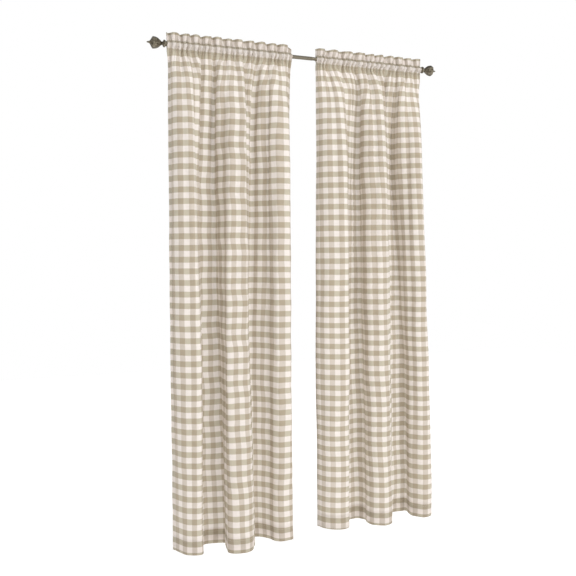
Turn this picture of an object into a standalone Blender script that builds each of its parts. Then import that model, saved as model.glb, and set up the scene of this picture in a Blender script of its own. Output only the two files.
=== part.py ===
# Pair of rod pocket curtains, gathered on an adjustable rod with two turned finials.
# The rod lies along X at the height of the origin, the fronts face -Y, and the cloth hangs to -Z.

import math

import bmesh
import bpy
import numpy as np

# Driving dimensions in millimetres
MM = 0.001

PANEL_LENGTH = 2134.0  # heading edge to hem as sold, 84 in
PANEL_WIDTH = 1067.0  # flat width of one panel, 42 in
CLOTH = 1.5  # one layer
HEADING = 34.0  # ruffle above the upper stitch line
POCKET_TOP = 12.0  # upper stitch line above the rod's axis
POCKET_FOOT = -27.0  # lower stitch line
SEAM = 4.0  # folded edge below the lower stitch line

ROD_DIAMETER = 16.0  # outer tube, 5/8 in
INNER_DIAMETER = 14.4
TUBE_WALL = 0.5
ROD_HALF = 611.0  # middle of the rod to the end of a tube
TUBE_STEP = 47.0  # where the outer tube ends and the inner tube shows
TUBE_LAP = 150.0  # inner tube hidden inside the outer tube
SLIDE_GAP = 0.3
ROD_CLEARANCE = 0.5  # cloth to rod where the pocket rests on it

HEADING_RIPPLE = 13.0  # half depth of the gathers at the heading edge
STITCH_RIPPLE = 6.0  # at the upper stitch line
FOOT_RIPPLE = 8.0  # at the lower stitch line
POCKET_BILLOW = 14.0  # how far a gather stands out from the rod
MOST_RIPPLE = 12.0  # deepest gather below the pocket

# The folds are drawn at three heights, given as drops below the lower stitch line
HIGH_DROP = 60.0  # where the gathers start to open into folds
MIDDLE_DROP = 1310.0
LOW_FROM, HEM_DROP = 980.0, 2060.0  # from the middle's folds to the hem's
RISE_REACH, RISE_EASE = 75.0, 1.1  # drop over which the gathers leave the rod's straight line
OPEN_REACH, OPEN_EASE = 210.0, 1.2  # drop over which the folds deepen
DRIFT_EASE = 0.8  # under 1 spreads the folds along the rod early

COLUMNS_PER_GATHER = 5
POCKET_STEPS = 4
TURN_STEPS = 24
SPAN_POINTS = 16  # on the hem's curve between two turns of the cloth
HALVINGS = 20  # when the gathers are fitted to the cloth's width
SHARP_ANGLE = 40.0  # degrees
MERGE_DISTANCE = 0.001

# Drops below the lower stitch line at which a panel has a row of points, as shares of the whole drop
ROW_SHARES = (0.012, 0.03, 0.06, 0.10, 0.16, 0.25, 0.38, 0.55, 0.77, 1.0)

# Each panel: its own length, the tube it hangs on, where it starts and ends on the rod, then its folds seen from
# above, a row for each turn of the cloth with its place (along the rod, behind the rod's axis) high up, halfway
# down and at the hem, then the gathers on the rod, a row for each with its place and its depth against the usual.
LEFT_PANEL = {
    "name": "curtain_left",
    "length": PANEL_LENGTH + 4.0,
    "tube": ROD_DIAMETER,
    "rod_from": -601.0,
    "rod_to": -51.0,
    "folds": (
        # turn, high, halfway, hem
        ("outer_edge", (-588, 44), (-592, 40), (-582, 70)),
        ("fold_1_left", (-566, -20), (-556, -16), (-544, -12)),
        ("fold_1_right", (-492, -34), (-492, -46), (-492, -38)),
        ("valley_1_left", (-446, 20), (-442, 88), (-452, 68)),
        ("valley_1_right", (-386, 18), (-362, 92), (-362, 60)),
        ("fold_2_side", (-386, -6), (-367, 2), (-378, -32)),
        ("fold_2_left", (-372, -26), (-369, -28), (-382, -72)),
        ("fold_2_crown", (-334, -30), (-314, -34), (-324, -96)),
        ("fold_2_right", (-298, -36), (-270, -32), (-274, -70)),
        ("valley_2_left", (-262, 16), (-214, 88), (-213, 68)),
        ("valley_2_right", (-202, 30), (-176, 66), (-176, 48)),
        ("fold_3_side", (-182, -2), (-148, 0), (-146, -16)),
        ("fold_3_left", (-168, -24), (-141, -34), (-125, -30)),
        ("fold_3_right", (-96, -16), (-88, -40), (-76, -32)),
        ("inner_edge", (-46, 40), (-52, 34), (-66, 66)),
    ),
    "gathers": (
        # along, depth
        (-568, 1.0),
        (-517, 0.8),
        (-479, 1.1),
        (-427, 0.9),
        (-383, 1.2),
        (-336, 0.8),
        (-294, 1.0),
        (-242, 1.2),
        (-185, 0.9),
        (-138, 1.1),
        (-86, 0.9),
    ),
}

RIGHT_PANEL = {
    "name": "curtain_right",
    "length": PANEL_LENGTH - 6.0,
    "tube": INNER_DIAMETER,
    "rod_from": 68.0,
    "rod_to": 601.0,
    "folds": (
        # turn, high, halfway, hem
        ("inner_edge", (84, 44), (70, 32), (88, 56)),
        ("fold_1_left", (136, 4), (106, -40), (128, -16)),
        ("fold_1_right", (206, -8), (182, -62), (198, -28)),
        ("valley_1_left", (246, 28), (250, 60), (252, 72)),
        ("valley_1_right", (292, 32), (312, 66), (316, 76)),
        ("fold_2_side", (302, 4), (310, -10), (318, -8)),
        ("fold_2_left", (316, -14), (320, -36), (328, -38)),
        ("fold_2_crown", (350, -10), (356, -56), (358, -66)),
        ("fold_2_right", (390, -24), (412, -38), (408, -54)),
        ("valley_2_left", (424, 44), (482, 86), (488, 78)),
        ("valley_2_right", (460, 16), (556, 82), (562, 74)),
        ("fold_3_side", (476, -4), (550, 16), (556, 6)),
        ("fold_3_left", (500, -24), (560, -12), (566, -20)),
        ("fold_3_crown", (548, -12), (592, -34), (600, -44)),
        ("fold_3_right", (584, -14), (624, -32), (640, -38)),
        ("outer_edge", (596, 30), (650, 44), (662, 48)),
    ),
    "gathers": (
        # along, depth
        (92, 0.8),
        (152, 1.1),
        (225, 1.2),
        (294, 1.0),
        (343, 0.8),
        (392, 0.9),
        (441, 1.1),
        (494, 0.9),
        (538, 0.8),
        (587, 1.0),
    ),
}

# Finial: sizes along the rod from the end of the tube outwards, and diameters
FINIAL_SOCKET = 7.0  # how far it laps over the tube
FINIAL_LENGTH = 73.5  # end of the tube to the tip
SOCKET_DIAMETER = 20.0
COLLAR_DIAMETER = 30.0
COLLAR_FROM, COLLAR_TO = -2.0, 5.0
SOCKET_EASE, COLLAR_ROUND = 1.5, 1.5  # small roundings
# Half section from the collar to the tip, rows of (along, radius)
BEAD = ((6.0, 7.4), (8.0, 8.5), (9.8, 7.2))
BUD = ((11.0, 6.2), (15.0, 9.2), (20.0, 13.6), (26.0, 18.4), (33.0, 21.8), (41.0, 23.6), (48.0, 24.2))
CAP = ((49.6, 23.6), (53.0, 19.0), (57.0, 12.0), (60.5, 6.8), (63.5, 4.6))
TIP_LENGTH, TIP_RADIUS = 1.2, 2.2


def clear_scene():
    for thing in list(bpy.data.objects):
        bpy.data.objects.remove(thing, do_unlink=True)


def material(name, colour, roughness, metallic):
    surface = bpy.data.materials.new(name)
    surface.use_nodes = True
    shader = surface.node_tree.nodes["Principled BSDF"]
    shader.inputs["Base Color"].default_value = (*colour, 1.0)
    shader.inputs["Roughness"].default_value = roughness
    shader.inputs["Metallic"].default_value = metallic
    return surface


def add_object(name, mesh_data, surface):
    """Makes a named object of a bmesh, with its faces turned outwards."""
    bmesh.ops.recalc_face_normals(mesh_data, faces=mesh_data.faces)
    mesh = bpy.data.meshes.new(name)
    mesh_data.to_mesh(mesh)
    mesh_data.free()
    mesh.shade_smooth()
    mesh.set_sharp_from_angle(angle=math.radians(SHARP_ANGLE))
    thing = bpy.data.objects.new(name, mesh)
    thing.data.materials.append(surface)
    bpy.context.collection.objects.link(thing)
    return thing


def smooth_line(points):
    """A round curve through points (Catmull-Rom, centripetal)."""
    points = np.asarray(points, float)
    first = 2 * points[0] - points[1]
    last = 2 * points[-1] - points[-2]
    padded = np.vstack([first, points, last])
    knots = np.concatenate([[0.0], np.cumsum(np.sqrt(np.linalg.norm(np.diff(padded, axis=0), axis=1)))])
    curve = []
    for i in range(1, len(padded) - 2):
        p0, p1, p2, p3 = padded[i - 1 : i + 3]
        t0, t1, t2, t3 = knots[i - 1 : i + 3]
        t = np.linspace(t1, t2, SPAN_POINTS, endpoint=False)[:, None]
        a1 = (t1 - t) / (t1 - t0) * p0 + (t - t0) / (t1 - t0) * p1
        a2 = (t2 - t) / (t2 - t1) * p1 + (t - t1) / (t2 - t1) * p2
        a3 = (t3 - t) / (t3 - t2) * p2 + (t - t2) / (t3 - t2) * p3
        b1 = (t2 - t) / (t2 - t0) * a1 + (t - t0) / (t2 - t0) * a2
        b2 = (t3 - t) / (t3 - t1) * a2 + (t - t1) / (t3 - t1) * a3
        curve.append((t2 - t) / (t2 - t1) * b1 + (t - t1) / (t2 - t1) * b2)
    return np.vstack([*curve, points[-1:]])


def run_along(line):
    """Distance along a line at each of its points."""
    return np.concatenate([[0.0], np.cumsum(np.linalg.norm(np.diff(line, axis=0), axis=1))])


def settled(drop, reach, ease):
    """Grows from 0 at no drop towards 1 well past its reach."""
    return 1 - math.exp(-((drop / reach) ** ease))


class Panel:
    """The shape of one panel: columns across the cloth, rows down it."""

    def __init__(self, table):
        self.start, self.end = table["rod_from"], table["rod_to"]
        places = [row[0] for row in table["gathers"]]
        depths = [row[1] for row in table["gathers"]]
        crests = np.arange(len(places))
        low = -(places[0] - self.start) / (places[1] - places[0])
        high = crests[-1] + (self.end - places[-1]) / (places[-1] - places[-2])
        # Whole steps of phase, so that every crest has a column, and none nearer than half a step to an edge
        first, last = math.ceil(low * COLUMNS_PER_GATHER + 0.5), math.floor(high * COLUMNS_PER_GATHER - 0.5)
        phase = np.concatenate([[low], np.arange(first, last + 1) / COLUMNS_PER_GATHER, [high]])
        self.on_rod = np.interp(phase, [low, *crests, high], [self.start, *places, self.end])
        self.share = (self.on_rod - self.start) / (self.end - self.start)
        # The wave is -1 where a usual gather stands to the front and 1 where it falls to the back
        self.wave = -np.cos(2 * math.pi * phase) * np.interp(phase, crests, depths)
        self.straight = np.column_stack([self.on_rod, np.zeros_like(self.on_rod)])
        self.high, self.middle, self.hem = (
            self.spread([row[level] for row in table["folds"]]) for level in (1, 2, 3)
        )

    def spread(self, turns):
        """The columns' places on the curve through the turns of the cloth at one height."""
        line = smooth_line(turns)
        length = run_along(line)
        return np.column_stack([np.interp(self.share, length / length[-1], line[:, k]) for k in (0, 1)])

    def folded(self, drop):
        """The folds seen from above at a drop below the pocket, without the gathers."""
        drop = max(drop, 0.0)
        below = max(drop - HIGH_DROP, 0.0)
        rise = settled(drop, RISE_REACH, RISE_EASE)
        drift = min(below / (MIDDLE_DROP - HIGH_DROP), 1.0) ** DRIFT_EASE
        opened = np.array([drift, settled(below, OPEN_REACH, OPEN_EASE)])  # along, behind
        low = min(max((drop - LOW_FROM) / (HEM_DROP - LOW_FROM), 0.0), 1.0)
        low *= low * (3 - 2 * low)
        lower = (1 - low) * self.middle + low * self.hem
        return (1 - rise) * self.straight + rise * ((1 - opened) * self.high + opened * lower)

    def outline(self, drop, ripple):
        """The panel seen from above at one height, with gathers of a given half depth."""
        line = self.folded(drop)
        run = np.gradient(line, axis=0)
        across = np.column_stack([-run[:, 1], run[:, 0]]) / np.hypot(run[:, 0], run[:, 1])[:, None]
        return line + across * (self.wave * ripple)[:, None]

    def hanging(self, drop):
        """The outline whose gathers take up what the folds leave of the cloth's width."""
        low, high = 0.0, MOST_RIPPLE
        for _ in range(HALVINGS):
            middle = (low + high) / 2
            if run_along(self.outline(drop, middle))[-1] < PANEL_WIDTH:
                low = middle
            else:
                high = middle
        start = min(max(drop, 0.0) / -POCKET_FOOT, 1.0)
        return self.outline(drop, FOOT_RIPPLE + (low - FOOT_RIPPLE) * start)


def pocket_side(tight, top, foot, billow):
    """Points from the lower stitch line to the upper one, round one side of a rod of a given radius with its
    clearance. Each is (out, up)."""
    top_angle, foot_angle = math.atan2(top[0], top[1]), math.atan2(foot[0], foot[1]) % (2 * math.pi)
    step = (foot_angle - top_angle) / POCKET_STEPS
    points = []
    for k in range(1, POCKET_STEPS):
        angle = foot_angle - k * step
        reach = tight / math.cos(step / 2)
        for seam, seam_angle in ((top, top_angle), (foot, foot_angle)):
            bend = math.acos(tight / math.hypot(*seam))
            turn = abs(angle - seam_angle)
            if turn < bend:
                reach = max(reach, tight / math.cos(bend - turn))
        reach += billow * math.sin(math.pi * k / POCKET_STEPS) ** 2
        points.append((reach * math.sin(angle), reach * math.cos(angle)))
    return points


def facing(rows):
    """Unit normals of a grid of points, one for each, towards the front."""
    across = np.gradient(rows, axis=1)
    upwards = np.gradient(rows, axis=0)
    normal = np.cross(across, upwards)
    return normal / np.linalg.norm(normal, axis=2, keepdims=True)


def curtain(table, surface):
    """One panel as a closed solid: cloth, heading, and a pocket open at both ends."""
    panel = Panel(table)
    columns = len(panel.share)
    whole_drop = table["length"] - HEADING - POCKET_TOP + POCKET_FOOT
    ledge = POCKET_FOOT - SEAM
    tight = table["tube"] / 2 + ROD_CLEARANCE

    def flat_row(outline, height):
        return np.column_stack([outline, np.full(columns, height)])

    # Sheet from the hem up to the folded edge of the pocket
    sheet = []
    for share in reversed(ROW_SHARES):
        drop = SEAM + share * (whole_drop - SEAM)
        sheet.append(flat_row(panel.hanging(drop), POCKET_FOOT - drop))
    sheet.append(flat_row(panel.outline(0.0, FOOT_RIPPLE), ledge))
    foot = flat_row(panel.outline(0.0, FOOT_RIPPLE), POCKET_FOOT)
    top = flat_row(panel.outline(0.0, STITCH_RIPPLE), POCKET_TOP)
    heading = [
        flat_row(panel.outline(0.0, (STITCH_RIPPLE + HEADING_RIPPLE) / 2), POCKET_TOP + HEADING / 2),
        flat_row(panel.outline(0.0, HEADING_RIPPLE), POCKET_TOP + HEADING),
    ]

    # Pocket walls, inner faces, front and back
    walls = {}
    for side, sign in (("front", -1.0), ("back", 1.0)):
        rows = np.zeros((POCKET_STEPS - 1, columns, 3))
        for c in range(columns):
            billow = POCKET_BILLOW * max(0.0, (1 + sign * panel.wave[c]) / 2)
            seams = (sign * top[c, 1], top[c, 2]), (sign * foot[c, 1], foot[c, 2])
            for k, (out, up) in enumerate(pocket_side(tight, *seams, billow)):
                rows[k, c] = (panel.on_rod[c], sign * out, up)
        walls[side] = rows

    middle = np.array([*sheet, foot, top, *heading])
    normal = facing(middle)
    lower, upper = len(sheet), len(sheet) + 1
    front_wall = walls["front"] + CLOTH * facing(np.array([foot, *walls["front"], top]))[1:-1]
    back_wall = walls["back"] - CLOTH * facing(np.array([foot, *walls["back"], top]))[1:-1]
    fore, aft = middle + CLOTH * normal, middle - CLOTH * normal

    # Section loops of each column: outside from the hem up the front and down the back, then the pocket
    outside = [*fore[: lower + 1], *front_wall, *fore[upper:]]
    outside += [*aft[upper:][::-1], *back_wall[::-1], aft[lower], aft[lower - 1], *middle[:lower][::-1]]
    inside = [middle[lower], *walls["front"], middle[upper], *walls["back"][::-1]]

    mesh = bmesh.new()
    outer = [[mesh.verts.new(MM * row[c]) for row in outside] for c in range(columns)]
    inner = [[mesh.verts.new(MM * row[c]) for row in inside] for c in range(columns)]
    # Both sides of the cloth are split along the same diagonals, which keeps its thickness where it twists
    for loops, risers in ((outer, lower + POCKET_STEPS + len(heading)), (inner, POCKET_STEPS)):
        for here, there in zip(loops, loops[1:]):
            for k in range(len(here)):
                after = (k + 1) % len(here)
                if k < risers:
                    mesh.faces.new((here[k], here[after], there[after]))
                    mesh.faces.new((here[k], there[after], there[k]))
                else:
                    mesh.faces.new((here[k], here[after], there[k]))
                    mesh.faces.new((here[after], there[after], there[k]))
    for c in (0, columns - 1):
        close_end(mesh, outer[c], inner[c], lower, len(heading))
    return add_object(table["name"], mesh, surface)


def close_end(mesh, outer, inner, lower, headings):
    """Faces across a side edge of the cloth, round the open end of the pocket."""
    count = len(outer)
    front_foot, front_top = lower, lower + POCKET_STEPS
    top_back = front_top + 2 * headings + 1  # back of the upper stitch line
    back_foot = top_back + POCKET_STEPS
    back_ledge, sheet_ledge = back_foot + 1, back_foot + 2
    for k in range(lower - 1):
        mesh.faces.new((outer[k], outer[k + 1], outer[count - 2 - k], outer[count - 1 - k]))
    mesh.faces.new((outer[lower - 1], outer[front_foot], inner[0], outer[sheet_ledge]))
    mesh.faces.new((outer[sheet_ledge], inner[0], outer[back_foot], outer[back_ledge]))
    for k in range(POCKET_STEPS):
        mesh.faces.new((outer[front_foot + k], outer[front_foot + k + 1], inner[k + 1], inner[k]))
        mesh.faces.new(
            (outer[back_foot - k], inner[-k if k else 0], inner[-k - 1], outer[back_foot - k - 1])
        )
    tip = inner[POCKET_STEPS]
    mesh.faces.new((tip, outer[front_top], outer[front_top + 1]))
    mesh.faces.new((tip, outer[front_top + 1], outer[top_back - 1]))
    mesh.faces.new((tip, outer[top_back - 1], outer[top_back]))
    for k in range(1, headings):
        mesh.faces.new(
            (outer[front_top + k], outer[front_top + k + 1], outer[top_back - k - 1], outer[top_back - k])
        )


def turned(name, profile, closed, surface):
    """A solid turned round the X axis from a profile of (along, radius) points."""
    mesh = bmesh.new()
    points = [mesh.verts.new((MM * along, 0.0, MM * radius)) for along, radius in profile]
    edges = [mesh.edges.new(pair) for pair in zip(points, points[1:])]
    if closed:
        edges.append(mesh.edges.new((points[-1], points[0])))
    bmesh.ops.spin(
        mesh,
        geom=[*points, *edges],
        cent=(0.0, 0.0, 0.0),
        axis=(1.0, 0.0, 0.0),
        angle=2 * math.pi,
        steps=TURN_STEPS,
        use_duplicate=False,
    )
    bmesh.ops.remove_doubles(mesh, verts=mesh.verts, dist=MM * MERGE_DISTANCE)
    return add_object(name, mesh, surface)


def tube(name, start, end, diameter, surface):
    outer, inner = diameter / 2, diameter / 2 - TUBE_WALL
    return turned(name, ((start, inner), (start, outer), (end, outer), (end, inner)), True, surface)


def finial_profile(tube_diameter):
    """Half section of a finial, from the bottom of its socket to the tip."""
    bore, socket, collar = tube_diameter / 2 + SLIDE_GAP, SOCKET_DIAMETER / 2, COLLAR_DIAMETER / 2
    profile = [(SLIDE_GAP, 0.0), (SLIDE_GAP, bore), (-FINIAL_SOCKET, bore), (-FINIAL_SOCKET, socket)]
    profile += [(COLLAR_FROM - SOCKET_EASE, socket), (COLLAR_FROM, collar - COLLAR_ROUND)]
    profile += [(COLLAR_FROM + COLLAR_ROUND, collar), (COLLAR_TO - COLLAR_ROUND, collar)]
    profile += [(COLLAR_TO, collar - COLLAR_ROUND), *BEAD, *BUD, *CAP]
    profile += [(FINIAL_LENGTH - TIP_LENGTH, TIP_RADIUS), (FINIAL_LENGTH, 0.0)]
    return profile


def main():
    clear_scene()
    gingham = material("gingham_cotton", (0.66, 0.58, 0.49), 0.85, 0.0)
    pewter = material("antique_pewter", (0.16, 0.14, 0.11), 0.42, 0.85)

    curtain(LEFT_PANEL, gingham)
    curtain(RIGHT_PANEL, gingham)

    tube("rod_outer_tube", -ROD_HALF, TUBE_STEP, ROD_DIAMETER, pewter)
    tube("rod_inner_tube", TUBE_STEP - TUBE_LAP, ROD_HALF, INNER_DIAMETER, pewter)

    for name, direction, diameter in (
        ("finial_left", -1, ROD_DIAMETER),
        ("finial_right", 1, INNER_DIAMETER),
    ):
        profile = [(direction * (ROD_HALF + along), radius) for along, radius in finial_profile(diameter)]
        turned(name, profile, False, pewter)


main()
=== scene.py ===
# Pair of rod pocket curtains: two gingham cotton panels gathered on an adjustable rod with bud finials.
import math

import bpy
import numpy as np
from mathutils import Matrix, Vector


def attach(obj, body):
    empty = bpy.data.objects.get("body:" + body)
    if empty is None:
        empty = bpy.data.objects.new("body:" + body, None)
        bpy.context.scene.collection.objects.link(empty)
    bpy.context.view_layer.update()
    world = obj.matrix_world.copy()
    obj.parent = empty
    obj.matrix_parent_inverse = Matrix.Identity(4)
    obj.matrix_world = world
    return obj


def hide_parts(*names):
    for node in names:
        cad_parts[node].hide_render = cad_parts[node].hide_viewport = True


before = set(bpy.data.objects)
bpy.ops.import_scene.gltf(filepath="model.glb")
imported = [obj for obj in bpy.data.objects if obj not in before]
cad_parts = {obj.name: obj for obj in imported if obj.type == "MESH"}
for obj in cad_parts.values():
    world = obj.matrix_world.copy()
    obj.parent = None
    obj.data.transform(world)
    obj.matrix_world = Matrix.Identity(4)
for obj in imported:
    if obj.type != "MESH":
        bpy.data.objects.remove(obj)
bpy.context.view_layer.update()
mm = 0.001  # sizes below are in millimetres, unless a note says otherwise

# How both panels are cut, sewn and hung
cloth = {
    "width": 1067.0,  # flat width between the side hems' folds, 42 in
    "length": 2134.0,  # heading edge to hem, 84 in
    "heading": 34.0,  # ruffle above the rod
    "pocketTop": 12.0,  # upper stitch line above the rod's axis
    "pocketFoot": -27.0,  # lower stitch line
    "pocketCloth": 47.0,  # cloth between the stitch lines, on each side of the rod
    "ledge": 4.0,  # folded edge below the lower stitch line, on the back
    "sideHem": 19.0,
    "bottomHem": 62.0,
    "rodClearance": 0.5,
    "headingRipple": 12.5,  # half depth of the gathers at the heading's edge
    "stitchRipple": 5.0,
    "footRipple": 4.5,
    "mostRipple": 10.0,
    "billow": 13.0,  # how far a gather stands out from the rod
    "settleDrop": 120.0,  # where the gathers have their depths in the folds
    "crestWidth": 0.24,  # over 0 gives broad fronts and narrow gaps
    "skew": 0.35,  # how far a gather leans to one side
    "pleatSpacing": 15.5,  # small pleats along both stitch lines
    "pleatScatter": (0.22, 0.78),  # place of each in its own space
    "pleatCrest": 0.22,  # over 0 gives broad crests and narrow dips
    "pleatDepth": (1.6, 6.0),
    "pleatReach": (28.0, 150.0),
    "pleatShortness": 1.8,  # over 1 makes most of them short
    "pleatFade": 1.3,  # over 1 keeps them deep close to the stitches
    "pleatsUpwards": 2.4,  # how much sooner they fade in the heading
    "pleatStart": 6.0,  # over which they grow on the pocket
    "creasePeak": 0.7,  # under 1 makes a crease deepest above its middle
    "softness": 1.6,  # height of the broad, soft unevenness
    "softWaves": 7,
    "softShare": (0.4, 1.0),  # each wave's share of that height
    "softAcross": (90, 260),  # its lengths across and down the cloth
    "softDown": (-900, 900),
    "softTurn": (0, 6.28),
    "softReach": 300.0,  # over which the waves grow below the pocket
    "softEase": 1.5,
    "edgeRuffle": 1.5,  # uneven heading edge and hem
    "edgeWaves": ((0.6, 31, 1), (0.4, 13, 2)),  # share of that height, length of a radian, shift
    "edgeRoll": 2.5,  # how much the heading's edge rolls to the back
    "slackReach": 200,  # over which the slack across the cloth sets in
    "columns": 313,
    "sheetRows": 196,
    "rowEase": 1.25,  # over 1 puts more rows near the gathers
    "wallRows": 10,
    "headingRows": 8,
    "dense": 1401,  # points across before they are spread evenly
    "halvings": 14,  # steps that find the gathers' depth
}

# How the folds grow below the pocket
drape = {
    "riseReach": 75.0,  # over which the cloth leaves the rod's line
    "riseEase": 1.1,
    "highDrop": 60.0,  # where the gathers start to open into folds
    "openReach": 210.0,  # over which the folds get their depth
    "openEase": 1.2,
    "middleDrop": 1310.0,  # where they have drifted to their places halfway down
    "driftEase": 0.8,
    "lowFrom": 980.0,  # where they start to turn into those of the hem
    "hemDrop": 2060.0,
}

leftPanel = {
    "name": "left_panel",
    "node": "curtain_left",
    "stitching": "left_stitching",
    "rod": "rod_outer_tube",
    "lengthChange": 4.0,  # how much longer it hangs
    "tube": "outer",
    "span": (-601.0, -51.0),  # its edges' places along the rod
    # slack cloth carries its checks higher: (drop, by how much) and (across, by how much)
    "slackDown": (
        (0, 0), (40, 2), (70, 7), (110, 11), (220, 14), (500, 14), (650, 14.5), (850, 11.5), (1050, 10),
        (1250, 6), (1450, 5), (2060, 7),
    ),
    "slackAcross": ((0, -2), (150, -2), (300, 2), (620, 2), (800, 1.5), (950, 0), (1067, -2)),
    "cornerDown": ((0, 0), (1015, 0), (1045, 3), (1060, 9), (1067, 15)),  # how the heading's corners sag
    # small tucks draw the checks sideways: places across the cloth, and how far there at each drop
    "tuckPlaces": (100, 360, 540, 620, 840, 920, 1000),
    "tucks": (
        (0, (0, 0, 0, 0, 0, 0, 0)),
        (100, (-14, 10, 9, 11, 18, 8, 0)),
        (345, (-8, 13, 6, 11, 24, 24, -6)),
        (520, (-6, 13, -3, 5, 26, 24, 0)),
        (680, (-4, 6, -6, 3, 29, 19, 6)),
        (850, (-1, 9, 3, 11, 33, 20, 8)),
        (1020, (0, 7, -4, 3, 38, 18, 8)),
        (1240, (0, 9, -17, -8, 42, 18, 8)),
        (1470, (-4, 18, -9, -3, 42, 27, 8)),
        (1680, (-8, 18, -11, -8, 47, 34, 30)),
        (1850, (-9, 22, -15, -8, 52, 45, 39)),
    ),
    "seed": 11,
    # a row for each turn of the cloth: (along the rod, behind it) high up, halfway down and at the hem
    "folds": (
        ("outer edge", (-588, 44), (-592, 40), (-582, 70)),
        ("fold 1 left", (-566, -20), (-556, -16), (-544, -12)),
        ("fold 1 right", (-492, -34), (-492, -46), (-492, -38)),
        ("valley 1 left", (-446, 20), (-442, 88), (-452, 68)),
        ("valley 1 right", (-386, 18), (-362, 92), (-362, 60)),
        ("fold 2 side", (-386, -6), (-367, 2), (-378, -32)),
        ("fold 2 left", (-372, -26), (-369, -28), (-378, -60)),
        ("fold 2 crown", (-334, -30), (-314, -34), (-324, -96)),
        ("fold 2 right", (-286, -36), (-281, -32), (-274, -70)),
        ("valley 2 left", (-264, 20), (-227, 90), (-213, 68)),
        ("valley 2 right", (-194, 34), (-176, 66), (-176, 48)),
        ("fold 3 side", (-176, -2), (-148, 0), (-146, -16)),
        ("fold 3 left", (-168, -24), (-141, -34), (-125, -30)),
        ("fold 3 right", (-96, -16), (-88, -40), (-76, -32)),
        ("inner edge", (-46, 40), (-52, 34), (-66, 66)),
    ),
    # place along the rod of each gather, its depth there, and its depth once the folds have opened
    "gathers": (
        (-568, 1.0, 0.4), (-517, 0.8, 0.3), (-479, 1.1, 1.2), (-427, 0.9, 1.4), (-383, 1.2, 0.7),
        (-336, 0.8, 0.3), (-294, 1.0, 0.3), (-242, 1.2, 1.4), (-185, 0.9, 1.1), (-138, 1.1, 0.4),
        (-86, 0.9, 0.3),
    ),
    # soft ridges (over 0) and troughs: start and end (across the cloth, drop), height, half width
    "creases": (
        ((1000, 10), (1040, 150), 3.0, 9),
        ((960, 20), (1010, 230), -3.0, 10),
        ((120, 40), (150, 420), -2.5, 14),
        ((560, 300), (590, 900), 2.5, 16),
        ((470, 1480), (520, 1760), 3.0, 10),
        ((410, 10), (394, 900), -24.0, 6),
        ((682, 10), (676, 460), -14.0, 4.5),
        ((864, 30), (858, 1100), -14.0, 5),
    ),
}

rightPanel = {
    "name": "right_panel",
    "node": "curtain_right",
    "stitching": "right_stitching",
    "rod": "rod_inner_tube",
    "lengthChange": -6.0,
    "tube": "inner",
    "span": (68.0, 601.0),
    "slackDown": (
        (0, 0), (60, 4), (110, 7), (200, 8), (700, 6), (900, 1.5), (1100, 0), (1300, 3.5), (1500, 5),
        (1700, 12), (2060, 14),
    ),
    "slackAcross": ((0, -4.5), (170, -4.5), (310, 0), (600, 0.5), (750, 7), (900, 5), (1067, 3)),
    "cornerDown": ((0, 2), (25, 0), (1067, 0)),
    "tuckPlaces": (90, 200, 330, 420, 510, 600, 780, 870, 950),
    "tucks": (
        (0, (0, 0, 0, 0, 0, 0, 0, 0, 0)),
        (165, (-9, -5, 2, 12, 12, 6, 0, -2, 0)),
        (300, (-8, -4, 0, 6, 6, 8, 8, -4, -2)),
        (480, (-9, -8, 0, 5, 0, 2, 8, -8, -2)),
        (660, (-13, -12, 0, 1, -5, -4, 4, -5, -4)),
        (850, (-18, -16, 0, -1, -10, -9, -2, -10, -4)),
        (1040, (-21, -19, 1, -4, -16, -15, -2, -7, -4)),
        (1270, (-21, -20, 2, -2, -9, -10, 18, 3, 6)),
        (1500, (-19, -18, 6, 0, -2, -3, 29, 6, 8)),
        (1760, (-20, -18, 5, -2, -4, -4, 42, 22, 18)),
        (1930, (-16, -14, 0, 0, -4, -2, 44, 28, 25)),
    ),
    "seed": 23,
    "folds": (
        ("inner edge", (84, 44), (70, 32), (88, 56)),
        ("fold 1 left", (136, 4), (106, -40), (128, -16)),
        ("fold 1 right", (206, -8), (182, -62), (198, -28)),
        ("valley 1 left", (246, 28), (250, 60), (252, 72)),
        ("valley 1 right", (292, 32), (312, 66), (316, 76)),
        ("fold 2 side", (302, 4), (310, -10), (318, -8)),
        ("fold 2 left", (316, -14), (320, -36), (328, -38)),
        ("fold 2 crown", (350, -10), (356, -56), (358, -66)),
        ("fold 2 right", (390, -24), (412, -38), (408, -54)),
        ("valley 2 left", (424, 44), (482, 86), (488, 78)),
        ("valley 2 right", (460, 16), (556, 82), (562, 74)),
        ("fold 3 side", (476, -4), (550, 16), (556, 6)),
        ("fold 3 left", (500, -24), (560, -12), (566, -20)),
        ("fold 3 crown", (548, -12), (592, -34), (600, -44)),
        ("fold 3 right", (584, -14), (624, -32), (640, -38)),
        ("outer edge", (596, 30), (650, 44), (662, 48)),
    ),
    "gathers": (
        (92, 0.8, 0.4), (152, 1.1, 0.5), (225, 1.2, 1.4), (294, 1.0, 0.8), (343, 0.8, 0.3),
        (392, 0.9, 1.4), (441, 1.1, 1.2), (494, 0.9, 0.7), (538, 0.8, 0.3), (587, 1.0, 0.4),
    ),
    "creases": (
        ((60, 20), (90, 260), -3.0, 12),
        ((300, 60), (330, 420), 2.5, 14),
        ((620, 60), (640, 340), -3.0, 12),
        ((880, 80), (900, 700), 2.5, 14),
        ((776, 10), (806, 1000), -20.0, 4.5),
        ((832, 30), (850, 700), 5.0, 8),
        ((322, 20), (344, 1000), -16.0, 4.5),
    ),
}

# Layers of cloth, as distances in front of the middle of the folds
layers = {
    "sheet": 1.2, "sheetHem": 0.4, "hem": -1.2, "hemHem": -0.4,
    "heading": 1.3, "headingHem": 0.45, "wall": 1.0, "wallHem": 0.35, "stitched": 0.8, "fold": 0.8,
}


def between(at, low, high, first, second):
    # from first, where at is low, to second, where it is high
    return (high - at) / (high - low) * first + (at - low) / (high - low) * second


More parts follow.
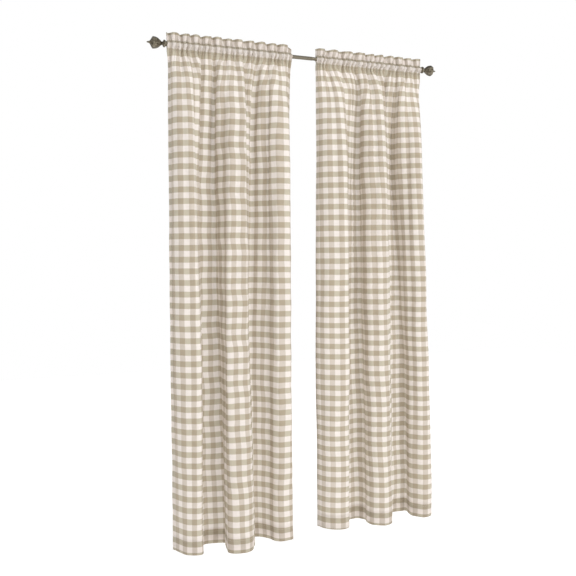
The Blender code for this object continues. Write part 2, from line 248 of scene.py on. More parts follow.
def smoothLine(points, steps=24):
    # round curve through the points, with no overshoot where they lie close
    points = np.asarray(points, float)
    padded = np.vstack([2 * points[0] - points[1], points, 2 * points[-1] - points[-2]])
    gaps = np.sqrt(np.linalg.norm(np.diff(padded, axis=0), axis=1))
    knots = np.concatenate([[0.0], np.cumsum(gaps)])
    curve = []
    for first in range(len(padded) - 3):
        near = knots[first : first + 4]
        at = np.linspace(near[1], near[2], steps, endpoint=False)[:, None]
        lines = padded[first : first + 4]
        lines = [between(at, near[k], near[k + 1], lines[k], lines[k + 1]) for k in range(3)]
        lines = [between(at, near[k], near[k + 2], lines[k], lines[k + 1]) for k in range(2)]
        curve.append(between(at, near[1], near[2], *lines))
    return np.vstack([*curve, points[-1:]])


def distances(line):
    return np.concatenate([[0.0], np.cumsum(np.linalg.norm(np.diff(line, axis=0), axis=1))])


def pointsAt(at, run, line):
    # places along a line of points, which lie at the distances run
    return np.column_stack([np.interp(at, run, values) for values in line.T])


def spreadEvenly(line, count):
    run = distances(line)
    return pointsAt(np.linspace(0, run[-1], count), run, line)


def settled(drop, reach, ease):
    # from 0 at the pocket towards 1 far below it
    return 1 - math.exp(-((max(drop, 0.0) / reach) ** ease))


def gatherWaves(panel, onRod, draw):
    # the gathers' waves, at the pocket and below it: -1 stands to the front, 1 falls to the back
    start, end = panel["span"]
    places, depths, depthsBelow = zip(*panel["gathers"])
    crests = np.arange(len(places))
    low = -(places[0] - start) / (places[1] - places[0])
    high = crests[-1] + (end - places[-1]) / (places[-1] - places[-2])
    phase = np.interp(onRod, [start, *places, end], [low, *crests, high])
    lean = np.interp(phase, crests, draw.uniform(-cloth["skew"], cloth["skew"], len(places)))
    angle = 2 * math.pi * phase
    angle = angle + lean * np.sin(angle)
    wave = -(np.cos(angle) - cloth["crestWidth"] * np.cos(2 * angle))
    return [wave * np.interp(phase, crests, values) for values in (depths, depthsBelow)]


def smallPleats(panel, onRod, draw):
    # how high the small pleats stand at each place along the rod, and how far they reach
    start, end = panel["span"]
    count = round((end - start) / cloth["pleatSpacing"])
    at = start + (np.arange(count) + draw.uniform(*cloth["pleatScatter"], count)) * (end - start) / count
    turn = 2 * math.pi * np.interp(onRod, [start, *at, end], [-0.5, *np.arange(count), count - 0.5])
    depth = draw.uniform(*cloth["pleatDepth"], count)
    far = draw.uniform(0, 1, count) ** cloth["pleatShortness"]
    reach = cloth["pleatReach"][0] + np.ptp(cloth["pleatReach"]) * far
    crest = np.cos(turn) - cloth["pleatCrest"] * np.cos(2 * turn)
    return {"height": crest * np.interp(onRod, at, depth), "reach": np.interp(onRod, at, reach)}


def panelShape(panel):
    # the panel with everything about it that is the same at every height
    start, end = panel["span"]
    share = np.linspace(0, 1, cloth["dense"])
    onRod = start + share * (end - start)
    draw = np.random.default_rng(panel["seed"])
    waves = gatherWaves(panel, onRod, draw)
    pleats = smallPleats(panel, onRod, draw)
    soft = []
    for _ in range(cloth["softWaves"]):
        height = draw.uniform(*cloth["softShare"])
        perAcross, perDrop = (1 / draw.uniform(*cloth[key]) for key in ("softAcross", "softDown"))
        soft.append((height, perAcross, perDrop, draw.uniform(*cloth["softTurn"])))
    levels = []
    for level in (1, 2, 3):
        line = smoothLine([row[level] for row in panel["folds"]])
        run = distances(line)
        levels.append(pointsAt(share, run / run[-1], line))
    return panel | {
        "across": share * cloth["width"],
        "onRod": onRod,
        "straight": np.column_stack([onRod, np.zeros_like(onRod)]),
        "waves": waves,
        "pleats": pleats,
        "soft": soft,
        "levels": levels,
    }


def foldedLine(shape, drop):
    # the folds seen from above at a drop below the pocket, without the gathers
    high, middle, hem = shape["levels"]
    drop = max(drop, 0.0)
    below = max(drop - drape["highDrop"], 0.0)
    rise = settled(drop, drape["riseReach"], drape["riseEase"])
    drift = min(below / (drape["middleDrop"] - drape["highDrop"]), 1.0) ** drape["driftEase"]
    # the folds' places along the rod drift, and their depths grow
    opened = np.array([drift, settled(below, drape["openReach"], drape["openEase"])])
    low = min(max((drop - drape["lowFrom"]) / (drape["hemDrop"] - drape["lowFrom"]), 0.0), 1.0)
    low = low * low * (3 - 2 * low)
    lower = (1 - low) * middle + low * hem
    return (1 - rise) * shape["straight"] + rise * ((1 - opened) * high + opened * lower)


def pleatHeights(shape, away):
    # strongest at a stitch line and gone a short way from it
    pleats = shape["pleats"]
    return pleats["height"] * np.exp(-((away / pleats["reach"]) ** cloth["pleatFade"]))


def creaseHeights(shape, drop):
    # the main creases and the broad unevenness, none of them near the pocket
    across = shape["across"]
    total = np.zeros_like(across)
    for (fromAcross, fromDrop), (toAcross, toDrop), height, width in shape["creases"]:
        along = (drop - fromDrop) / (toDrop - fromDrop)
        if 0 < along < 1:
            middle = fromAcross + along * (toAcross - fromAcross)
            deep = height * math.sin(math.pi * along ** cloth["creasePeak"])
            total += deep * np.exp(-(((across - middle) / width) ** 2))
    grown = settled(drop, cloth["softReach"], cloth["softEase"])
    for height, perAcross, perDrop, turn in shape["soft"]:
        angle = 2 * math.pi * (across * perAcross + drop * perDrop) + turn
        total += cloth["softness"] / 2 * grown * height * np.sin(angle)
    return total


def outline(shape, drop, ripple, detail):
    # the folds with gathers of that half depth, and with the detail standing to the front
    line = foldedLine(shape, drop)
    run = np.gradient(line, axis=0)
    back = np.column_stack([-run[:, 1], run[:, 0]]) / np.hypot(run[:, 0], run[:, 1])[:, None]
    gone = min(max(drop, 0.0) / cloth["settleDrop"], 1.0)
    wave = (1 - gone) * shape["waves"][0] + gone * shape["waves"][1]
    return line + back * (wave * ripple - detail)[:, None]


def hangingLine(shape, drop):
    # gathers as deep as it takes to use up the width of the cloth
    detail = pleatHeights(shape, drop) + creaseHeights(shape, drop)
    low, high = 0.0, cloth["mostRipple"]
    for _ in range(cloth["halvings"]):
        ripple = (low + high) / 2
        if distances(outline(shape, drop, ripple, detail))[-1] < cloth["width"]:
            low = ripple
        else:
            high = ripple
    start = min(drop / -cloth["pocketFoot"], 1.0)
    ripple = cloth["footRipple"] + (low - cloth["footRipple"]) * start
    return outline(shape, drop, ripple, detail)


def uneven(shape):
    # gentle ups and downs of an edge, in two lengths
    across, turn = shape["across"], shape["soft"][0][3]
    waves = [share * np.sin(across / length + shift * turn) for share, length, shift in cloth["edgeWaves"]]
    return cloth["edgeRuffle"] * sum(waves)


def sheetRows(shape):
    # from the hem up to the lower stitch line, each with its place on the flat cloth
    length = cloth["length"] + shape["lengthChange"]
    whole = length - cloth["heading"] - cloth["pocketTop"] + cloth["pocketFoot"]
    rows, downs = [], []
    for share in np.linspace(1, 0, cloth["sheetRows"]):
        drop = share ** cloth["rowEase"] * whole
        height = cloth["pocketFoot"] - drop + uneven(shape) * share**3
        rows.append(np.column_stack([hangingLine(shape, drop), height]))
        downs.append(cloth["heading"] + cloth["pocketCloth"] + drop)
    return rows, downs


def wallRows(shape, side):
    # one side of the pocket (-1 is the front), round the rod between the stitch lines, without either
    tight = rod[shape["tube"]] / 2 + cloth["rodClearance"]
    steps = cloth["wallRows"] + 1
    pleats = pleatHeights(shape, 0)
    foot, top = (side * outline(shape, 0, cloth[key], pleats)[:, 1] for key in ("footRipple", "stitchRipple"))
    topAngle = np.arctan2(top, cloth["pocketTop"])
    footAngle = np.arctan2(foot, cloth["pocketFoot"]) % (2 * math.pi)
    seams = (top, cloth["pocketTop"], topAngle), (foot, cloth["pocketFoot"], footAngle)
    billow = cloth["billow"] * np.clip((1 + side * shape["waves"][0]) / 2, 0, None)
    rows, downs = [], []
    for k in range(1, steps):
        share = k / steps
        angle = footAngle + share * (topAngle - footAngle)
        reach = np.full(len(angle), tight)
        # straight from each seam to where the cloth touches the rod
        for out, up, seamAngle in seams:
            bend = np.arccos(tight / np.hypot(out, up))
            turn = np.abs(angle - seamAngle)
            reach = np.where(turn < bend, np.maximum(reach, tight / np.cos(bend - turn)), reach)
        away = cloth["pocketCloth"] * min(share, 1 - share)
        reach = reach + billow * math.sin(math.pi * share) ** 2
        grown = min(1.0, away / cloth["pleatStart"])
        reach = np.maximum(reach + pleatHeights(shape, away) * grown, tight)
        rows.append(np.column_stack([shape["onRod"], side * reach * np.sin(angle), reach * np.cos(angle)]))
        downs.append(cloth["heading"] + cloth["pocketCloth"] * (1 - share))
    return rows, downs


def headingRows(shape):
    # from the upper stitch line to the heading's edge
    fade = cloth["heading"] * cloth["pleatsUpwards"]
    sag = np.interp(shape["across"], *zip(*shape["cornerDown"]))
    rows, downs = [], []
    for share in np.linspace(0, 1, cloth["headingRows"]):
        ripple = cloth["stitchRipple"] + share * (cloth["headingRipple"] - cloth["stitchRipple"])
        height = cloth["pocketTop"] + cloth["heading"] * share + (uneven(shape) - sag) * share**2
        line = outline(shape, 0, ripple, pleatHeights(shape, fade * share))
        rows.append(np.column_stack([line, height]))
        downs.append(cloth["heading"] * (1 - share) - cloth["edgeRoll"] * share)
    return rows, downs


def facing(rows):
    # unit normals towards the front, one for each point of a grid
    normal = np.cross(np.gradient(rows, axis=1), np.gradient(rows, axis=0))
    return normal / np.linalg.norm(normal, axis=2, keepdims=True)


def clothStrip(panel):
    # the cloth as one strip of rows: hem at the back, sheet, pocket front, heading, and down the back again
    shape = panelShape(panel)

    def even(rowsAndDowns):
        rows, downs = rowsAndDowns
        return np.array([spreadEvenly(row, cloth["columns"]) for row in rows]), np.array(downs)

    sheet, sheetDown = even(sheetRows(shape))
    front, frontDown = even(wallRows(shape, -1))
    back, backDown = even(wallRows(shape, 1))
    heading, headingDown = even(headingRows(shape))
    sheets, walls = len(sheet), len(front)

    # rows of (points, normals, offset, side hem's offset, place down the cloth)
    strip = []
    fore = np.concatenate([sheet, front, heading])
    foreNormal = facing(fore)
    hemFrom = np.searchsorted(-sheetDown, -(sheetDown[0] - cloth["bottomHem"]))
    for k in range(hemFrom, -1, -1):
        down = 2 * sheetDown[0] - sheetDown[k]
        strip.append((sheet[k], foreNormal[k], layers["hem"], layers["hemHem"], down))
    fold = sheet[0] - [0, 0, layers["fold"]]
    strip.append((fold, foreNormal[0], 0.0, 0.0, sheetDown[0]))
    foreDown = np.concatenate([sheetDown, frontDown, headingDown])
    for k in range(len(fore)):
        name = "sheet" if k < sheets - 1 else "wall" if k < sheets + walls else "heading"
        offset = layers["stitched"] if k in (sheets - 1, sheets + walls) else layers[name]
        strip.append((fore[k], foreNormal[k], offset, layers[name + "Hem"], foreDown[k]))
    fold = heading[-1] + [0, 0, layers["fold"]]
    strip.append((fold, foreNormal[-1], 0.0, 0.0, -cloth["edgeRoll"]))

    aft = np.concatenate([sheet[-1:], back, heading])
    aftNormal = facing(aft)
    aftDown = np.concatenate([sheetDown[-1:], backDown, headingDown]) + 2 * cloth["edgeRoll"]
    for k in range(len(aft) - 1, -1, -1):
        name = "wall" if k <= walls else "heading"
        offset = layers["stitched"] if k in (0, walls + 1) else layers[name]
        strip.append((aft[k], aftNormal[k], -offset, -layers[name + "Hem"], -aftDown[k]))
    ledge = sheet[-1] - [0, 0, cloth["ledge"]]
    strip.append((ledge, aftNormal[0], -layers["wall"], -layers["wallHem"], -aftDown[0] - cloth["ledge"]))

    foot = hemFrom + 1 + sheets
    last = len(strip) - 2
    # rows of the hem's fold and of the stitch lines, in front and on the back
    marks = {"hemFold": hemFrom + 1, "foot": foot, "top": foot + walls + 1}
    return strip, marks | {"backTop": last - walls - 1, "backFoot": last}


def panelGrid(panel):
    # the strip with its side hems turned over, as points, places on the flat cloth, and marked rows
    strip, marks = clothStrip(panel)
    count = cloth["columns"]
    hemColumns = round(cloth["sideHem"] / cloth["width"] * (count - 1))
    spacing = cloth["width"] / (count - 1)
    points, downs = [], []
    for row, normal, offset, hemOffset, down in strip:
        main = row + normal * offset
        turned = row + normal * hemOffset
        edge = row + normal * (offset + hemOffset) / 2
        leftFold = edge[0] + (edge[0] - edge[1]) / spacing * layers["fold"] / 2
        rightFold = edge[-1] + (edge[-1] - edge[-2]) / spacing * layers["fold"] / 2
        leftHem, rightHem = turned[hemColumns::-1], turned[: -hemColumns - 2 : -1]
        points.append(np.vstack([leftHem, leftFold, main, rightFold, rightHem]))
        downs.append(down)
    across = np.arange(count) * spacing
    hemAcross = np.arange(hemColumns + 1) * spacing
    across = np.concatenate([-hemAcross[::-1], [0.0], across, [cloth["width"]], cloth["width"] + hemAcross])
    grid = {"points": np.array(points), "across": across, "down": np.array(downs), "hemColumns": hemColumns}
    return grid | marks


def makeMesh(name, points, faces, surface):
    mesh = bpy.data.meshes.new(name)
    mesh.from_pydata((points.reshape(-1, 3) * mm).tolist(), [], faces)
    mesh.validate()
    mesh.shade_smooth()
    mesh.materials.append(surface)
    piece = bpy.data.objects.new(name, mesh)
    bpy.context.collection.objects.link(piece)
    return piece


def gridFaces(rows, columns, loop=False):
    # corners of each face, as numbers of points
    number = np.arange(rows * columns).reshape(rows, columns)
    if loop:
        number = np.column_stack([number, number[:, 0]])
    corners = number[:-1, :-1], number[:-1, 1:], number[1:, 1:], number[1:, :-1]
    return np.stack(corners, axis=2).reshape(-1, 4)


def clothPiece(panel, grid, surface):
    rows, columns = grid["points"].shape[:2]
    piece = makeMesh(panel["name"], grid["points"], gridFaces(rows, columns).tolist(), surface)
    # where each point lies on the flat cloth, in metres, for the weave and the checks
    across, down = np.meshgrid(grid["across"], grid["down"])
    drop = np.clip(down - cloth["heading"] - cloth["pocketCloth"], 0, None)
    sides = np.interp(across, *zip(*panel["slackAcross"])) * np.clip(drop / cloth["slackReach"], 0, 1)
    down = down + np.interp(drop, *zip(*panel["slackDown"])) + sides
    drops, amounts = zip(*panel["tucks"])
    atPlaces = np.array([np.interp(drop[:, 0], drops, amount) for amount in zip(*amounts)])
    across = across + np.array([np.interp(grid["across"], panel["tuckPlaces"], row) for row in atPlaces.T])
    flat = np.stack([across, down], axis=2).reshape(-1, 2) * mm
    corners = np.empty(len(piece.data.loops), dtype=np.int32)
    piece.data.loops.foreach_get("vertex_index", corners)
    layer = piece.data.uv_layers.new(name="flatCloth")
    layer.data.foreach_set("uv", flat[corners].astype(np.float32).ravel())
    return piece


# Sewing thread, one stitch after another along every hem and both pocket lines
thread = {
    "pitch": 3.8,
    "length": 3.0,
    "radius": 0.3,
    "sides": 6,
    "proud": 0.12,  # middle of the thread above the cloth
    "full": 0.55,  # share of a stitch's length that has its full thickness
}


def stitchesAlong(line, normals):
    # centres, directions and normals of the stitches on a line of points
    run = distances(line)
    at = np.arange(thread["pitch"] / 2, run[-1], thread["pitch"])
    half = thread["length"] / 2
    middle, ahead, behind = (pointsAt(at + step, run, line) for step in (0.0, half, -half))
    normal = pointsAt(at, run, normals)
    along = (ahead - behind) / np.linalg.norm(ahead - behind, axis=1, keepdims=True)
    normal /= np.linalg.norm(normal, axis=1, keepdims=True)
    return middle + normal * thread["proud"], along, normal


def seamLines(grid):
    # every line of stitches on a panel, as points and normals
    points = grid["points"]
    normal = facing(points)
    first, last = grid["hemColumns"] + 2, points.shape[1] - grid["hemColumns"] - 3
    middle = slice(first, last + 1)
    # the bottom hem's stitches show on both sides, and so do those of the side hems
    rows = [grid["foot"], grid["top"], grid["backTop"], grid["backFoot"], 2 * grid["hemFold"] - 1, 1]
    lines = [(points[row, middle], normal[row, middle]) for row in rows]
    sheet = slice(grid["hemFold"] + 1, grid["foot"])
    inward = grid["hemColumns"] - 1
    columns = (first + inward, last - inward, 1, points.shape[1] - 2)
    return lines + [(points[sheet, column], normal[sheet, column]) for column in columns]


def stitchingPiece(panel, grid, surface):
    stitches = [stitchesAlong(*line) for line in seamLines(grid)]
    middles, alongs, normals = (np.vstack(parts) for parts in zip(*stitches))
    sides = thread["sides"]
    sideways = np.cross(alongs, normals)
    turn = np.arange(sides) * 2 * math.pi / sides
    ring = thread["radius"] * (np.cos(turn)[:, None, None] * normals + np.sin(turn)[:, None, None] * sideways)
    # a spindle: two rings, then a tip at each end, dipped into the cloth
    body = alongs * thread["length"] / 2
    rings = [middles - body * thread["full"] + ring, middles + body * thread["full"] + ring]
    dip = normals * thread["radius"]
    tips = np.stack([middles - body - dip, middles + body - dip])
    spindles = np.concatenate([*rings, tips]).transpose(1, 0, 2)  # stitch, point, place
    here = np.arange(sides)
    there = (here + 1) % sides
    quads = np.column_stack([here, there, there + sides, here + sides])
    fans = np.vstack([
        np.column_stack([there, here, np.full(sides, 2 * sides)]),
        np.column_stack([here + sides, there + sides, np.full(sides, 2 * sides + 1)]),
    ])
    starts = (np.arange(len(spindles)) * (2 * sides + 2))[:, None, None]
    faces = (quads + starts).reshape(-1, 4).tolist() + (fans + starts).reshape(-1, 3).tolist()
    return makeMesh(panel["stitching"], spindles, faces, surface)


# Rod and finials, turned about the rod's axis
rod = {
    "outer": 16.0,
    "inner": 14.4,
    "wall": 0.5,
    "half": 611.0,  # middle of the rod to the end of a tube
    "step": 47.0,  # where the outer tube ends
    "lap": 150.0,
    "rolled": 0.25,  # rounding of the cut ends
    "rub": (0, 0.5, 0.8, 0, 0, 0, 0.8, 0.5, 0),  # how bright each point of the profile is rubbed
    "turns": 64,
}

finial = {
    "gap": 0.3,  # clearance to the tube
    "pinhole": 0.05,  # radius at the profile's ends
    "socket": 7.0,  # length over the tube
    "length": 73.5,
    "socketWidth": 20.0,
    "bevels": (0.4, 0.5),  # inside and outside its rim
    "collar": (-2.0, 5.0),
    "collarWidth": 30.0,
    "collarRound": 1.8,
    # turned groove round the socket: (along, depth, how bright it is rubbed)
    "groove": ((-5.4, 0.0, 0.1), (-4.7, 0.6, 0.0), (-4.0, 0.0, 0.3), (-2.5, 0.0, 0.1)),
    # half section from the collar to the tip: (along, radius, how bright it is rubbed)
    "bead": (
        (5.6, 6.9, 0.0), (6.4, 7.9, 0.3), (7.4, 8.5, 0.9), (8.4, 8.5, 0.9), (9.3, 7.8, 0.3), (10.1, 6.7, 0.0),
    ),
    "bud": (
        (11.0, 6.2, 0.0), (15.0, 9.2, 0.0), (20.0, 13.6, 0.1), (26.0, 18.4, 0.2), (33.0, 21.8, 0.3),
        (41.0, 23.6, 0.4), (46.0, 24.1, 0.5), (48.3, 24.25, 0.9), (49.4, 23.9, 1.0), (50.3, 23.0, 0.8),
    ),
    "cap": (
        (53.0, 19.0, 0.2), (57.0, 12.0, 0.1), (60.5, 6.8, 0.1), (63.5, 4.6, 0.3), (67.0, 3.7, 0.4),
        (71.5, 2.6, 0.6),
    ),
    "rimRub": (0.3, 0.5, 0.7),
    "collarRub": 0.9,
    "tipRub": 0.8,
    "facets": 8,
    "facetTurn": 0.2,  # radians from the top
    "faceted": (11.0, 25.0, 55.5, 63.5),  # where facets start, are full, start to fade, and end
    "ridgeSharpness": 4,  # over 1 for narrow bright ridges
    "ridgeRub": 0.8,
    "flatRub": 0.25,  # how much darker the flats are
    "steps": (8, 4, 5),  # round the collar, between points of the outline, and round the tip
    "turns": 96,
}


def turnedPiece(name, profile, turns, rub, surface, closed=False, dents=1.0):
    # profile of (along, radius) turned about X; dents are shares of the radius round the turn
    profile = np.asarray(profile, float)
    rows = len(profile)
    angle = np.arange(turns) * 2 * math.pi / turns
    along, radius = (profile[:, k][:, None] * np.ones(turns) for k in (0, 1))
    radius = radius * dents
    points = np.stack([along, radius * np.sin(angle), radius * np.cos(angle)], axis=2)
    faces = gridFaces(rows + closed, turns, loop=True) % (rows * turns)
    piece = makeMesh(name, points, faces.tolist(), surface)
    values = np.broadcast_to(np.asarray(rub, float), (rows, turns)).ravel()
    attribute = piece.data.attributes.new("rub", "FLOAT", "POINT")
    attribute.data.foreach_set("value", values.astype(np.float32))
    return piece


def tubePiece(name, start, end, width, surface):
    outer, inner, ease = width / 2, width / 2 - rod["wall"], rod["rolled"]
    profile = [(start, inner), (start, outer - ease), (start + ease, outer)]
    profile += [(start + share * (end - start), outer) for share in (0.25, 0.5, 0.75)]
    profile += [(end - ease, outer), (end, outer - ease), (end, inner)]
    rub = np.array(rod["rub"])[:, None]
    return turnedPiece(name, profile, rod["turns"], rub, surface, closed=True)


def finialProfile(tubeWidth):
    # half section from inside the socket to the tip, each point with how bright it is rubbed
    bore, socket, collar = tubeWidth / 2 + finial["gap"], finial["socketWidth"] / 2, finial["collarWidth"] / 2
    collarSteps, smoothSteps, tipSteps = finial["steps"]
    rim = -finial["socket"]
    inside, outside = finial["bevels"]
    rows = [(finial["gap"], finial["pinhole"], 0), (finial["gap"], bore, 0), (rim + inside, bore, 0)]
    bevels = (rim, bore + inside), (rim, socket - outside), (rim + outside, socket)
    rows += [(*place, rub) for place, rub in zip(bevels, finial["rimRub"])]
    rows += [(along, socket - depth, rub) for along, depth, rub in finial["groove"]]
    start, end = finial["collar"]
    middle, half, rounding = (start + end) / 2, (end - start) / 2, finial["collarRound"]
    for k in range(collarSteps + 1):
        angle = math.pi * (k / collarSteps - 0.5)
        out = collar - rounding + rounding * math.cos(angle)
        rows.append((middle + half * math.sin(angle), out, finial["collarRub"] * math.cos(angle)))
    line = smoothLine([*finial["bead"], *finial["bud"], *finial["cap"]], smoothSteps)
    rows += [tuple(row) for row in line]
    start, wide, _ = finial["cap"][-1]
    for k in range(1, tipSteps + 1):
        angle = math.pi / 2 * k / tipSteps
        along = start + (finial["length"] - start) * math.sin(angle)
        rows.append((along, max(finial["pinhole"], wide * math.cos(angle)), finial["tipRub"]))
    return rows


def finialPiece(name, side, tubeWidth, surface):
    rows = finialProfile(tubeWidth)
    profile = [(side * (rod["half"] + along), radius) for along, radius, _ in rows]
    # how strongly the bud is faceted at each place
    place = np.abs([along for along, _ in profile])[:, None] - rod["half"]
    start, full, fade, end = finial["faceted"]
    swell = np.clip((place - start) / (full - start), 0, 1) * np.clip((end - place) / (end - fade), 0, 1)
    # a flat facet's radius, as a share of that at its edges
    half = math.pi / finial["facets"]
    angle = np.arange(finial["turns"]) * 2 * math.pi / finial["turns"]
    flat = np.cos(half) / np.cos((angle + finial["facetTurn"]) % (2 * half) - half)
    ridge = ((flat - math.cos(half)) / (1 - math.cos(half))) ** finial["ridgeSharpness"]
    rub = np.array([row[2] for row in rows])[:, None]
    rub = rub + swell * (finial["ridgeRub"] * ridge - finial["flatRub"])
    return turnedPiece(name, profile, finial["turns"], rub, surface, dents=1 - swell * (1 - flat))


def linear(code):
    # sRGB hex to the linear colour that shaders take
    values = [int(code[k : k + 2], 16) / 255 for k in (1, 3, 5)]
    return (*(v / 12.92 if v <= 0.04045 else ((v + 0.055) / 1.055) ** 2.4 for v in values), 1.0)


def addNode(tree, kind, **values):
    # names in small letters are settings, and the rest are sockets, by name or as in_0 for a number
    # a value that is a node links its first output, and a tuple says (node, output)
    node = tree.nodes.new("ShaderNode" + kind)
    for key, value in values.items():
        numbered = key.startswith("in_")
        if key.islower() and not numbered:
            setattr(node, key, value)
            continue
        socket = node.inputs[int(key[3:]) if numbered else key.replace("_", " ")]
        if isinstance(value, bpy.types.Node):
            tree.links.new(value.outputs[0], socket)
        elif isinstance(value, tuple) and isinstance(value[0], bpy.types.Node):
            tree.links.new(value[0].outputs[value[1]], socket)
        else:
            socket.default_value = value
    return node


def newSurface(name):
    surface = bpy.data.materials.new(name)
    surface.use_nodes = True
    surface.node_tree.nodes.clear()
    return surface, surface.node_tree


# Gingham: cotton blend, woven plain from white and taupe yarn, washed and pressed
gingham = {
    "repeat": 46.9,  # one light and one dark band
    "firstRow": 89.0,  # middle of a dark row, below the heading's edge
    "edge": 1.1,  # blur of a band's edge, where dyed and white yarns meet
    "stray": 1.6,  # how far bands stray from straight
    "strayLength": 26.0,
    "white": "#ECE4DE",
    "darkRow": "#C4BCA9",
    "darkColumn": "#D0C6BB",
    "both": "#AFA28D",
    "yarn": 1.4,  # yarns are about 0.35 apart, drawn coarser so that they show
    "slub": (1.2, 40.0),  # a thick place in a yarn: across and along it
    "slubTone": 0.10,
    "slubRise": 1.2,
    "patch": 180.0,  # size of faint uneven patches
    "patchTone": 0.05,
    "tone": 0.90,  # before slubs and patches add to it
    "bump": 0.25,
    "bumpDepth": 0.25 * mm,
    "roughness": 0.86,
    "ior": 1.53,
    "sheen": 0.2,
    "sheenRoughness": 0.5,
    "seeThrough": 0.34,  # share of the light that comes through
}


def ginghamPattern(tree, scaled):
    # bands of dyed and white yarn each way, which cross in four colours
    length, stray = gingham["strayLength"], gingham["stray"]
    wander = addNode(tree, "TexNoise", noise_dimensions="2D", Vector=scaled, Scale=1 / length, Detail=2.0)
    wanderBy = addNode(tree, "VectorMath", operation="MULTIPLY_ADD", in_0=(wander, 1),
                       in_1=(stray, stray, 0.0), in_2=(-stray / 2, -stray / 2, 0.0))
    at = addNode(tree, "VectorMath", operation="ADD", in_0=scaled, in_1=wanderBy)
    split = addNode(tree, "SeparateXYZ", in_0=at)
    repeat, edge = gingham["repeat"], gingham["edge"]
    bands = []
    for axis, shift in ((0, 0.0), (1, repeat / 2 - gingham["firstRow"])):
        moved = addNode(tree, "Math", operation="ADD", in_0=(split, axis), in_1=shift)
        fold = addNode(tree, "Math", operation="PINGPONG", in_0=moved, in_1=repeat / 2)
        bands.append(addNode(tree, "MapRange", interpolation_type="SMOOTHSTEP", Value=fold,
                             From_Min=repeat / 4 - edge, From_Max=repeat / 4 + edge))
    column, row = bands
    mixes = []
    for light, dark in (("white", "darkRow"), ("darkColumn", "both")):
        mixes.append(addNode(tree, "Mix", data_type="RGBA", Factor=row,
                             in_6=linear(gingham[light]), in_7=linear(gingham[dark])))
    return addNode(tree, "Mix", data_type="RGBA", Factor=column, in_6=(mixes[0], 2), in_7=(mixes[1], 2))


def ginghamSurface():
    # matt and slightly see-through, with soft band edges and a faint cross grain of yarns
    surface, tree = newSurface("gingham_cotton_plain_woven")
    flat = addNode(tree, "UVMap", uv_map="flatCloth")
    scaled = addNode(tree, "VectorMath", operation="SCALE", in_0=flat, Scale=1 / mm)
    checks = ginghamPattern(tree, scaled)
    # slubs run along the warp and along the weft
    slubs = []
    across, along = gingham["slub"]
    for scale in ((1 / across, 1 / along, 1.0), (1 / along, 1 / across, 1.0)):
        stretched = addNode(tree, "VectorMath", operation="MULTIPLY", in_0=scaled, in_1=scale)
        slubs.append(addNode(tree, "TexNoise", noise_dimensions="2D", Vector=stretched,
                             Scale=1.0, Detail=1.0))
    slub = addNode(tree, "Math", operation="ADD", in_0=slubs[0], in_1=slubs[1])
    patches = addNode(tree, "TexNoise", noise_dimensions="2D", Vector=scaled,
                      Scale=1 / gingham["patch"], Detail=2.0)
    tone = addNode(tree, "Math", operation="MULTIPLY_ADD", in_0=slub,
                   in_1=gingham["slubTone"], in_2=gingham["tone"])
    tone = addNode(tree, "Math", operation="MULTIPLY_ADD", in_0=patches, in_1=gingham["patchTone"], in_2=tone)
    shade = addNode(tree, "VectorMath", operation="SCALE", in_0=(checks, 2), Scale=tone)
    # plain weave: a yarn over, a yarn under
    weave = []
    split = addNode(tree, "SeparateXYZ", in_0=scaled)
    for axis in (0, 1):
        turn = addNode(tree, "Math", operation="MULTIPLY", in_0=(split, axis), in_1=math.pi / gingham["yarn"])
        weave.append(addNode(tree, "Math", operation="SINE", in_0=turn))
    cross = addNode(tree, "Math", operation="MULTIPLY", in_0=weave[0], in_1=weave[1])
    rise = addNode(tree, "Math", operation="MULTIPLY_ADD", in_0=slub, in_1=gingham["slubRise"], in_2=cross)
    bump = addNode(tree, "Bump", Strength=gingham["bump"], Distance=gingham["bumpDepth"], Height=rise)
    shader = addNode(tree, "BsdfPrincipled", Base_Color=shade, Roughness=gingham["roughness"],
                     IOR=gingham["ior"], Sheen_Weight=gingham["sheen"],
                     Sheen_Roughness=gingham["sheenRoughness"], Normal=bump)
    through = addNode(tree, "BsdfTranslucent", Color=shade)
    mixed = addNode(tree, "MixShader", in_0=gingham["seeThrough"], in_1=shader, in_2=through)
    addNode(tree, "OutputMaterial", Surface=mixed)
    return surface


threadFinish = {
    "light": "#E9E1D3",
    # the darker colour is partly the thread's own uneven tone and partly painted shade in its twists
    "dark": "#DDD3C2",
    "twist": 0.7,
    "bump": 0.3,
    "bumpDepth": 0.1 * mm,
    "roughness": 0.55,
    "ior": 1.53,
}


def threadSurface():
    # polyester sewing thread, spun and twisted: off-white with a slight gloss, and a darker colour mixed in
    # by noise that is partly a real change of tone and partly painted shade in the twists
    surface, tree = newSurface("sewing_thread_twisted")
    finish = threadFinish
    at = addNode(tree, "TexCoord"), 3
    twist = addNode(tree, "TexNoise", Vector=at, Scale=1 / (finish["twist"] * mm), Detail=1.0)
    # painted shade: where the noise is low, the darker colour stands for the shade between the twisted plies
    colour = addNode(tree, "Mix", data_type="RGBA", Factor=twist,
                     in_6=linear(finish["dark"]), in_7=linear(finish["light"]))
    bump = addNode(tree, "Bump", Strength=finish["bump"], Distance=finish["bumpDepth"], Height=twist)
    shader = addNode(tree, "BsdfPrincipled", Base_Color=(colour, 2), Roughness=finish["roughness"],
                     IOR=finish["ior"], Normal=bump)
    addNode(tree, "OutputMaterial", Surface=shader)
    return surface


pewter = {
    "base": "#7A7263",
    "dark": "#3A3427",
    "rubbed": "#B9B29F",
    "mottle": 9.0,  # size of the stained patches
    "stained": (0.36, 0.64),  # where in the noise a patch starts and is darkest
    "grain": 0.5,  # cast grain, in the patina
    "wear": (1.2, -0.35),  # how the grain breaks up the rubbed places: factor and shift
    "metallic": 0.9,
    "roughness": (0.34, 0.5),
    "bump": 0.03,
    "castBump": 0.25,
    "bumpDepth": 0.3 * mm,
}


